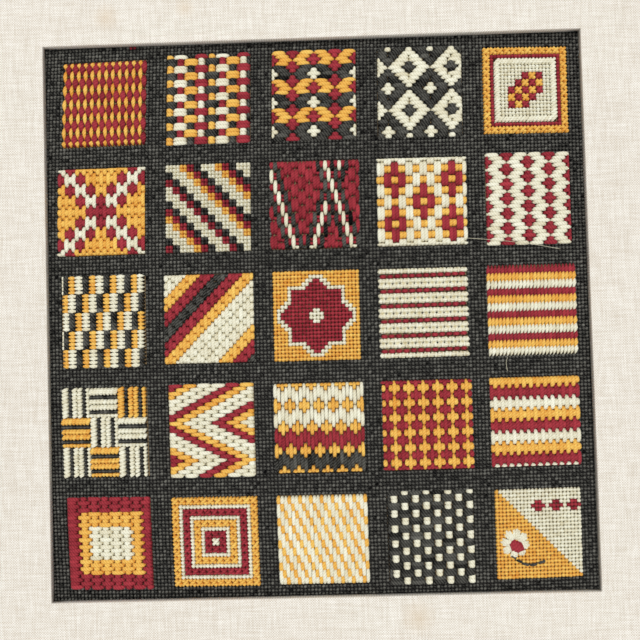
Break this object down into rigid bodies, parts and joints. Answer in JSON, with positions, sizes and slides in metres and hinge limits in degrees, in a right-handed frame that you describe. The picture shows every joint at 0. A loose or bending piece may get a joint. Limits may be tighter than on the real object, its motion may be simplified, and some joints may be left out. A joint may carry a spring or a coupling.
{
  "type": "needlepoint canvas panel in a linen-covered mat",
  "caption": "Flat wool needlepoint sampler of stitched squares on a dark ground, lying face up in the rabbet of a linen-covered mat with a window.",
  "frame": {"origin": "centre of the underside, where the panel lies on the surface", "axes": "+Z out of the stitched face, +Y towards the top of the design, +X to its right"},
  "size_m": [0.4126, 0.4216, 0.0055],
  "materials": {
    "wool_stitches": "plied tapestry wool stitched over cotton canvas, matt and slightly hairy",
    "linen": "natural plain-weave linen wrapped over board, matt"
  },
  "bodies": {
    "root": {"needlepoint_canvas": "wool_stitches", "linen_mat": "linen"}
  },
  "joints": []
}
